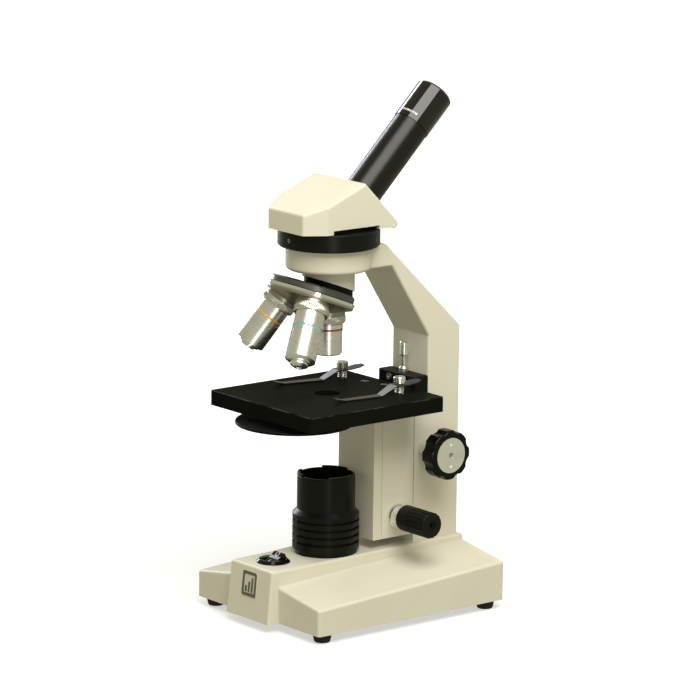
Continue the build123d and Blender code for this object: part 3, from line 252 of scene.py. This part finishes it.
# %% Worn anodised stage
def worn_stage():
    """Dull black plate, rubbed towards bare metal along its upper edges."""
    low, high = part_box("stage")
    anodised, bare_metal = (0.007, 0.0073, 0.006), (0.12, 0.12, 0.11)
    edge, soft = 0.5 * MM, 0.4 * MM
    finish = Finish("anodised stage", anodised, Specular_IOR_Level=0.004)
    middle = (low + high) / 2
    half = (high - low) / 2
    beside_x = (finish.place.along((1, 0, 0), middle).size() - (half.x - edge)).fade(0, soft)
    beside_y = (finish.place.along((0, 1, 0), middle).size() - (half.y - edge)).fade(0, soft)
    side = beside_x.maths("MAXIMUM", beside_x, beside_y)
    near_top = (finish.place.along((0, 0, 1), high) + 0.55 * MM).fade(0, soft)
    wear = side * near_top * finish.noise(90, 4).fade(0.42, 0.7)
    smears = finish.noise(30, 4, (1, 0.35, 1)).fade(0.45, 0.75)
    finish.vary("Base Color", finish.mix(wear, anodised, bare_metal))
    finish.vary("Roughness", 0.36 + smears * 0.12)
    finish.vary("Metallic", wear * 0.8)
    return finish.relief(finish.noise(2200, 2), 0.02 * MM, 0.35)


# %% Gloss black mouldings
def gloss_black(name, roughness=0.12, coat=0.15):
    """Moulded black with a wet skin: the skin's strength is the coat."""
    finish = Finish(name, (0.004, 0.004, 0.0035), Specular_IOR_Level=0.1, Coat_Weight=coat,
                    Coat_Roughness=0.05)
    finish.vary("Roughness", roughness + finish.noise(40, 4).fade(0.4, 0.8) * 0.1)
    return finish.relief(finish.noise(500, 1), 0.01 * MM, 0.25)


def rubber():
    clean, dusty = (0.009, 0.009, 0.009), (0.022, 0.021, 0.02)
    finish = Finish("black rubber", (0.012, 0.012, 0.012), Roughness=0.75, Specular_IOR_Level=0.3)
    finish.vary("Base Color", finish.mix(finish.noise(200, 4), clean, dusty))
    return finish.relief(finish.noise(1500, 3), 0.06 * MM, 0.6)


# %% [markdown]
# ## Bare and plated metal
# Turned metal is polished along circles, so its roughness and a very low relief follow a line noise
# along the part's own axis. On a flat turned face the lines are circles instead, and the same noise is
# fed with the distance from the axis.

# %% Turned, plated and brushed metals
def turned_metal(name, origin, direction, colour, roughness, per_metre=3500, face=False):
    """Metal with tool lines round an axis, or with circles on a turned face."""
    finish = Finish(name, colour, Metallic=1.0)
    distance = finish.place.from_axis(origin, direction) if face else finish.place.along(direction, origin)
    rings = finish.lines(distance, per_metre)
    spots = finish.noise(160, 4)
    duller = tuple(0.9 * part for part in colour)
    finish.vary("Base Color", finish.mix(spots.fade(0.4, 0.8), colour, duller))
    finish.vary("Roughness", roughness + rings * 0.1 + spots * 0.05)
    return finish.relief(rings, 0.006 * MM, 0.5)


def brushed_metal(name, colour, roughness, stretch):
    """Flat metal brushed one way: noise drawn out along the brushing."""
    finish = Finish(name, colour, Metallic=1.0)
    strokes = finish.noise(1500, 3, stretch)
    finish.vary("Base Color", finish.mix(strokes, tuple(0.85 * part for part in colour), colour))
    finish.vary("Roughness", roughness + strokes * 0.14)
    return finish.relief(strokes, 0.01 * MM, 0.4)


def clear_glass(name, tint):
    finish = Finish(name, tint, Transmission_Weight=1.0, IOR=1.52)
    return finish.vary("Roughness", 0.01 + finish.noise(35, 3).fade(0.62, 0.8) * 0.05)


print("finishes ready")

# %% [markdown]
# ## Where the axes are
# Every turned part needs its own axis. The joints already say them: the turret turns about one axis, the
# sprung nose slides along its objective, the eyepiece lifts out along the tube, and each knob turns
# about its shaft. The three objectives are a third of a turn apart about the turret's axis.

# %% Axes from the joints
def joint_axis(name):
    return Vector(joints[name]["pos_m"]), Vector(joints[name]["axis"]).normalized()


apex, turret_axis = joint_axis("turret_turn")
coarse_place, shaft_axis = joint_axis("coarse_knob_turn")
fine_place = joint_axis("fine_knob_turn")[0]
high_axis = -Vector(joints["nose_retract"]["axis"]).normalized()
third = Matrix.Rotation(math.radians(120), 3, turret_axis)
objective_axes = {"high": high_axis, "middle": third @ high_axis, "low": third @ third @ high_axis}
tube_axis = Vector(joints["eyepiece_lift"]["axis"]).normalized()
UPRIGHT = Vector((0, 0, 1))
for name, direction in objective_axes.items():
    print(name, "objective points along", [round(part, 3) for part in direction])

# %% [markdown]
# ## Dress the CAD nodes
# Each node gets the finish of its real material. A finish that follows an axis is made for each part
# that has its own axis; the others are shared.

# %% Plain assignment
NICKEL, STEEL = (0.86, 0.85, 0.84), (0.55, 0.545, 0.53)
ALUMINIUM, BRASS = (0.93, 0.92, 0.90), (0.62, 0.46, 0.20)
ZINC, TEMPERED = (0.58, 0.58, 0.56), (0.13, 0.13, 0.135)


def dress(finish, *names):
    """Gives CAD nodes one finish."""
    for name in names:
        mesh = nodes[name].data
        mesh.materials.clear()
        mesh.materials.append(finish.material)


def middle_of(name):
    low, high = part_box(name)
    return (low + high) / 2


dress(cream_enamel(), "base_shell", "arm", "coarse_carriage", "fine_carriage", "head_shell")
dress(satin_black("lamp lacquer", (0, 0, 0), UPRIGHT), "lamp_housing", "lamp_tube", "head_ring",
      "head_mount")
dress(satin_black("tube lacquer", (0, 0, 0), tube_axis, 0.004, 0.26, 0.36), "draw_tube")
dress(grained_black("milled black"), "stage_bracket", "aperture_disc", "turret_base")
dress(worn_stage(), "stage")
dress(gloss_black("knob gloss", 0.2, 0.1), "coarse_knobs")
dress(gloss_black("switch gloss", 0.14), "switch_bezel")
dress(grained_black("fine knob black", 0.010, 0.34), "fine_knobs")
dress(rubber(), "rubber_feet")
dress(turned_metal("spun disc", coarse_place, shaft_axis, ALUMINIUM, 0.42, 5000, face=True),
      "coarse_knob_discs")
dress(turned_metal("collar chrome", fine_place, shaft_axis, NICKEL, 0.14),
      "fine_collars", "coarse_bushes")
dress(turned_metal("shaft steel", fine_place, shaft_axis, STEEL, 0.25), "fine_shaft", "coarse_shaft")
dress(turned_metal("screw steel", (0, 0, 0), UPRIGHT, STEEL, 0.3), "stage_screws", "stop_nut",
      "disc_pivot", "head_ring_screws", "coarse_knob_screws", "turret_pivot", "cam_follower")
dress(gloss_black("blackened screw", 0.3), "fine_knob_screws")
dress(turned_metal("post chrome", (0, 0, 0), UPRIGHT, NICKEL, 0.16), "clip_posts", "stop_screw")
dress(brushed_metal("spring steel", TEMPERED, 0.3, (1, 0.04, 1)), "left_clip", "right_clip")
dress(brushed_metal("ground steel", STEEL, 0.25, (1, 1, 0.05)), "coarse_slide")
dress(brushed_metal("zinc plate", ZINC, 0.3, (1, 0.5, 1)), "base_plate", "base_screws", "arm_bolts")
dress(brushed_metal("brass", BRASS, 0.25, (1, 1, 0.2)), "rack", "fine_cam")
dress(clear_glass("crown glass", (0.93, 0.97, 0.96)), "lamp_lens", "lamp_bulb", "prism", "eyepiece_lenses",
      "objective_lenses")
print("dressed the shared finishes")

# %% [markdown]
# ## The turret and its objectives
# The turret plate is one turned piece with two looks: a polished rim, and a satin cone inside it. The
# distance from the turret's axis tells them apart. The cone's dark olive colour is a painted shade on
# the turret's underside. The grip ring above it is blackened nickel.
# The objectives are nickel-plated brass, each with lines round its own axis.

# %% Turret plate, grip ring and objectives
def turret_nickel():
    """Mirror-like rim and satin cone, told apart by the distance from the turret's axis; the cone's colour
    is a painted shade.
    """
    # The cone's colour is a painted shade: nickel darkened to olive for the turret's shaded underside.
    rim_colour, painted_shade_cone_colour = (0.90, 0.89, 0.88), (0.34, 0.33, 0.27)
    finish = Finish("turret nickel", NICKEL, Metallic=1.0)
    out = finish.place.from_axis(apex, turret_axis)
    rings = finish.lines(out, 4200)
    # The cone mask gives the real satin in the roughness and the painted shade in the colour.
    cone = 1 - out.fade(29.9 * MM, 30.4 * MM)
    finish.vary("Base Color", finish.mix(cone, rim_colour, painted_shade_cone_colour))
    finish.vary("Roughness", 0.07 + cone * 0.26 + rings * 0.06)
    return finish.relief(rings, 0.006 * MM, 0.4)


dress(turret_nickel(), "turret_plate")
dress(turned_metal("black nickel", apex, turret_axis, (0.17, 0.165, 0.155), 0.22), "turret_ring")
for name, direction in objective_axes.items():
    plated = turned_metal(name + " nickel", apex, direction, NICKEL, 0.2)
    dress(plated, name + "_objective")
    if name == "high":
        dress(plated, "high_nose")
print("turret and objectives plated")

# %% [markdown]
# ## Printed and moulded marks
# The switch has the two signs that every mains switch has, a ring for off and a bar for on. The eye cap
# has a short row of white print near its lower edge, left as plain dashes. The nose plate has a raised
# frame and bars in grey. Switch and cap carry paint alone, so their marks are masks on the finish. The
# plate's colour follows the relief that the plate already has.

# %% Switch, eye cap and nose plate
def marked_switch():
    low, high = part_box("switch_rocker")
    finish = gloss_black("switch print", 0.12)
    off = Vector((0, high.y - 3.4 * MM, high.z))
    ring = (finish.place.from_axis(off, UPRIGHT) - 1.5 * MM).size().below(0.36 * MM)
    along = (finish.place.along((0, 1, 0), (0, low.y + 4.2 * MM, 0))).size().below(1.3 * MM)
    bar = finish.place.along((1, 0, 0)).size().below(0.3 * MM) * along
    print_mask = ring.maths("MAXIMUM", ring, bar)
    return finish.vary("Base Color", finish.mix(print_mask, (0.004, 0.004, 0.004), (0.6, 0.6, 0.58)))


def marked_eye_cap():
    """Dashes of uneven length on a band round part of the cap: line noise over the angle, cut at a level."""
    finish = gloss_black("eye cap gloss", 0.1, 0.9)
    side = Vector((1, 0, 0)).cross(tube_axis)
    half_length, centre = 14.6 * MM, middle_of("eyepiece_cap")
    foot = Vector((0, centre.y, centre.z)) - tube_axis * half_length
    height = finish.place.along(tube_axis, foot)
    across, over = finish.place.along((1, 0, 0), foot), finish.place.along(side, foot)
    angle = across.maths("ARCTAN2", across, over)
    dashes = finish.lines(angle, 24, 0).above(0.46)
    band = (height - 4.6 * MM).size().below(0.7 * MM)
    facing = (angle - 0.40).size().below(0.46)
    white, black = (0.7, 0.7, 0.68), (0.004, 0.004, 0.004)
    return finish.vary("Base Color", finish.mix(dashes * band * facing, black, white))


def marked_plate():
    low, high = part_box("badge")
    finish = Finish("nose plate", (0.1, 0.1, 0.08), Roughness=0.4)
    lean = math.atan2(high.y - low.y - 0.5 * MM, high.z - low.z)
    outward = Vector((0, -math.cos(lean), math.sin(lean)))
    raised = finish.place.along(outward, (0, low.y, low.z)).above(-0.07 * MM)
    window, frame_grey = (0.62, 0.59, 0.46), (0.10, 0.105, 0.08)
    finish.vary("Base Color", finish.mix(raised, window, frame_grey))
    return finish.relief(finish.noise(900, 2), 0.03 * MM, 0.3)


dress(marked_switch(), "switch_rocker")
dress(marked_eye_cap(), "eyepiece_cap")
dress(marked_plate(), "badge")
dress(satin_black("barrel black", (0, 0, 0), tube_axis), "eyepiece_barrel")
dress(gloss_black("inlet plastic", 0.3), "power_inlet")
wire = Finish("wire insulation", (0.35, 0.03, 0.02), Coat_Weight=0.2)
dress(wire.vary("Roughness", 0.35 + wire.noise(200, 2) * 0.1), "base_wiring")
china = Finish("white ceramic", (0.78, 0.77, 0.72), Coat_Weight=0.5)
dress(china.vary("Roughness", 0.2 + china.noise(120, 3) * 0.15), "lamp_socket")
bare = [name for name in nodes if not nodes[name].data.materials]
print("nodes without a finish:", bare)

# %% [markdown]
# ## Surfaces of our own
# Some details are too fine for the CAD: the knurled rings, the painted bands in the objectives' grooves,
# and the coil springs under the clips. Rings and bands are grids of points that close on themselves both
# ways, so they have no seam and no open edge. Another function below makes the springs, whose ends close.

# %% Grid to mesh
def add_piece(name, mesh, body):
    """Puts a finished mesh in the scene as a piece that moves with a body."""
    piece = bpy.data.objects.new(name, mesh)
    bpy.context.scene.collection.objects.link(piece)
    print(name, len(mesh.polygons), "faces")
    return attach(piece, body)


def grid_object(name, grid, body, finish, smooth_angle=30):
    """A mesh from an array of rows x columns x 3. Both ways round it closes, like a ring doughnut."""
    rows, columns = grid.shape[:2]
    index = np.arange(rows * columns).reshape(rows, columns)
    after, beside = np.roll(index, -1, axis=0), np.roll(index, -1, axis=1)
    corner = np.roll(after, -1, axis=1)
    faces = np.stack([index, after, corner, beside], axis=-1).reshape(-1, 4)
    mesh = bpy.data.meshes.new(name)
    mesh.from_pydata(grid.reshape(-1, 3).tolist(), [], faces.tolist())
    if signed_volume(grid.reshape(-1, 3), faces) < 0:
        mesh.flip_normals()
    mesh.materials.append(finish.material)
    mesh.shade_smooth()
    mesh.set_sharp_from_angle(angle=math.radians(smooth_angle))
    return add_piece(name, mesh, body)


def signed_volume(points, faces):
    """Sum of the small pyramids from the origin to each face: negative when faces point inwards."""
    first, second, opposite, last = (points[faces[:, corner]] for corner in range(4))
    halves = np.einsum("ij,ij->i", first, np.cross(second, opposite))
    return (halves + np.einsum("ij,ij->i", first, np.cross(opposite, last))).sum()


def around(origin, direction, radius, height, angle):
    """Circles about an axis: origin + height * axis + radius * (cos, sin) in the plane across it."""
    axis = np.array(direction)
    first = np.cross(axis, (1, 0, 0) if abs(axis[0]) < 0.8 else (0, 1, 0))
    first = first / np.linalg.norm(first)
    second = np.cross(axis, first)
    flat = radius[..., None] * (np.cos(angle)[..., None] * first + np.sin(angle)[..., None] * second)
    return np.array(origin) + height[..., None] * axis + flat


# %% [markdown]
# ### Knurled rings
# The collar that screws each objective home is straight-knurled. A knurl is a tooth wave round the
# circle: the radius is the ring's radius plus a triangle wave, only on the outer points of the ring's
# section, and it dies away at both edges as the real cut does.

# %% Knurled rings on the objectives
SHOULDER = 53.7 * MM
KNURL_RADIUS, KNURL_LOW, KNURL_HIGH = 11.62 * MM, 0.75 * MM, 5.2 * MM
RING_THICKNESS, TOOTH_DEPTH = 0.5 * MM, 0.34 * MM
TEETH, POINTS_PER_TOOTH, RING_ROWS = 64, 4, 6


def knurled_ring(name, direction, finish):
    """Section: a closed strip from the ring's foot to its top. Radius = base + depth * wave * edge fade."""
    heights = np.linspace(0, 1, RING_ROWS)
    outer = np.column_stack([np.full(RING_ROWS, 1.0), heights])
    inner = np.column_stack([np.full(2, 0.0), heights[[-1, 0]]])
    section = np.vstack([outer, inner])
    angle = np.linspace(0, 2 * math.pi, TEETH * POINTS_PER_TOOTH, endpoint=False)
    wave = 1 - np.abs((angle * TEETH / (2 * math.pi)) % 1 * 2 - 1)
    edge = np.clip(np.minimum(section[:, 1], 1 - section[:, 1]) * 5, 0, 1)
    depth = TOOTH_DEPTH * section[:, 0, None] * edge[:, None] * wave[None, :]
    radius = KNURL_RADIUS - RING_THICKNESS + RING_THICKNESS * section[:, 0, None] + depth
    height = SHOULDER + KNURL_LOW + (KNURL_HIGH - KNURL_LOW) * section[:, 1, None] + 0 * angle
    grid = around(apex, direction, radius, height, angle[None, :] + 0 * radius)
    return grid_object(name, grid, "turret", finish, 60)


for name, direction in objective_axes.items():
    knurl_finish = turned_metal(name + " knurl nickel", apex, direction, (0.6, 0.585, 0.53), 0.3)
    knurled_ring(name + "_knurled_ring", direction, knurl_finish)

# %% [markdown]
# ### Painted bands
# The colour code of the powers is enamel run into a shallow groove: it stands a hair proud and its
# surface is slightly round. So each band is a thin ring whose section is a flattened oval.

# %% Painted bands
BAND_RADIUS, BAND_DEPTH, BAND_WIDTH = 9.86 * MM, 0.20 * MM, 0.62 * MM


def painted_band(name, direction, place, colour):
    """Section: an oval of half axes BAND_DEPTH and BAND_WIDTH, carried round the objective's axis."""
    turn = np.linspace(0, 2 * math.pi, 12, endpoint=False)[:, None]
    angle = np.linspace(0, 2 * math.pi, 96, endpoint=False)[None, :]
    radius = BAND_RADIUS + BAND_DEPTH * np.cos(turn) + 0 * angle
    height = SHOULDER + place + BAND_WIDTH * np.sin(turn) + 0 * angle
    paint = Finish(name + " enamel", colour, Coat_Weight=0.4, Coat_Roughness=0.1)
    paint.vary("Roughness", 0.3 + paint.noise(300, 2) * 0.15)
    grid = around(apex, direction, radius, height, angle + 0 * radius)
    return grid_object(name, grid, "turret", paint, 80)


painted_band("red_band", objective_axes["low"], 10.0 * MM, (0.36, 0.012, 0.03))
painted_band("yellow_band", objective_axes["middle"], 14.1 * MM, (0.80, 0.36, 0.01))
painted_band("blue_band", objective_axes["high"], 16.9 * MM, (0.12, 0.42, 0.52))

# %% [markdown]
# ### Clip springs
# A short coil spring pushes each stage clip up against its knurled post head. A spring is a circle of
# wire carried along a helix. The wire closes on itself only along its section, so its two ends are
# drawn in to a point.

# %% Clip springs
def coil_spring(name, centre, low, high, finish, radius=2.75 * MM, wire=0.38 * MM, turns=4.2):
    """Centre line: (radius cos a, radius sin a, a * pitch). The wire's radius ends in nothing."""
    share = np.linspace(0, 1, 150)[:, None]
    around_wire = np.linspace(0, 2 * math.pi, 8, endpoint=False)[None, :]
    angle = share * turns * 2 * math.pi
    thick = wire * np.sqrt(np.clip(1 - (2 * share - 1) ** 40, 0, 1))
    out = radius + thick * np.cos(around_wire)
    rise = low + wire + (high - low - 2 * wire) * share + thick * np.sin(around_wire)
    points = np.stack([centre.x + out * np.cos(angle), centre.y + out * np.sin(angle), rise], axis=-1)
    return open_tube(name, points, "fine_slide_body", finish)


def open_tube(name, grid, body, finish):
    """A tube from rows of section points: closed round each row, with its first and last rows a point."""
    rows, columns = grid.shape[:2]
    index = np.arange((rows - 1) * columns).reshape(rows - 1, columns)
    beside = np.roll(index, -1, axis=1)
    faces = np.stack([index, beside, beside + columns, index + columns], axis=-1).reshape(-1, 4)
    mesh = bpy.data.meshes.new(name)
    mesh.from_pydata(grid.reshape(-1, 3).tolist(), [], faces.tolist())
    mesh.materials.append(finish.material)
    merge_points(mesh)
    mesh.shade_smooth()
    return add_piece(name, mesh, body)


def merge_points(mesh):
    """Joins points that lie together, which closes the tips, and turns all faces outwards."""
    work = bmesh.new()
    work.from_mesh(mesh)
    bmesh.ops.remove_doubles(work, verts=work.verts, dist=0.001 * MM)
    bmesh.ops.recalc_face_normals(work, faces=work.faces)
    work.to_mesh(mesh)
    work.free()


SPRING_REACH, SPRING_GAP = 3.3 * MM, 0.05 * MM
stage_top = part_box("stage")[1].z
spring_steel = turned_metal("spring wire", (0, 0, 0), UPRIGHT, NICKEL, 0.2)
spring_low, spring_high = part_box("clip_springs")
for side, centre_x in (("left", spring_low.x + SPRING_REACH), ("right", spring_high.x - SPRING_REACH)):
    centre = Vector((centre_x, (spring_low.y + spring_high.y) / 2, 0))
    spring = coil_spring(side + "_clip_spring", centre, stage_top + SPRING_GAP, spring_high.z,
                         spring_steel)
    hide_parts("clip_springs")

# %% [markdown]
# ## The set
# Instruments like this are pictured on a white sweep. The ground glows, and less so under the object,
# where it would light the castings from below. A large softbox stands to the right and above, a narrow
# cool light on the left draws the edges of the metal, and a low strip on the right puts a streak on the
# objectives. The room is dim and a little olive, which is what the shaded faces and the nickel pick up.

# %% Floor, lights and world
def area_light(name, place, aim, width, height, power, colour=(1, 1, 1)):
    """A rectangular soft light that looks at a point."""
    light = bpy.data.lights.new(name, "AREA")
    light.shape, light.size, light.size_y = "RECTANGLE", width, height
    light.energy, light.color = power, colour
    lamp = bpy.data.objects.new(name, light)
    lamp.location = place
    lamp.rotation_euler = (Vector(aim) - Vector(place)).to_track_quat("-Z", "Y").to_euler()
    bpy.context.scene.collection.objects.link(lamp)
    return lamp


middle = Vector((0, 0, 0.18))
area_light("softbox", (0.80, -0.34, 1.42), middle, 1.15, 1.15, 27, (1.0, 0.985, 0.95))
area_light("left edge", (-1.24, 0.14, 0.58), middle, 0.25, 1.1, 9, (0.9, 0.93, 1.0))
area_light("right strip", (1.75, -0.95, 0.12), middle, 0.3, 0.9, 5, (1.0, 0.99, 0.95))

REACH = 30  # metres from the middle of the floor to its sides
floor_mesh = bpy.data.meshes.new("floor")
corners = [(-REACH, -REACH, 0), (REACH, -REACH, 0), (REACH, REACH, 0), (-REACH, REACH, 0)]
floor_mesh.from_pydata(corners, [], [(0, 1, 2, 3)])
floor = bpy.data.objects.new("floor", floor_mesh)
bpy.context.scene.collection.objects.link(floor)
ground = Finish("white ground", (0.5, 0.5, 0.5), Roughness=0.8, Emission_Strength=1.02,
                Specular_IOR_Level=0.1)
outwards = ground.place.from_axis((0, 0, 0), (0, 0, 1)).fade(0.25, 0.9)
ground.vary("Emission Color", ground.mix(outwards, (0.5, 0.5, 0.5), (1.0, 1.0, 1.0)))
floor_mesh.materials.append(ground.material)
floor.visible_diffuse = floor.visible_glossy = False

world = bpy.data.worlds.new("dim room")
world.use_nodes = True
world.node_tree.nodes["Background"].inputs["Color"].default_value = (0.50, 0.485, 0.35, 1)
world.node_tree.nodes["Background"].inputs["Strength"].default_value = 0.85
bpy.context.scene.world = world
print("set built")
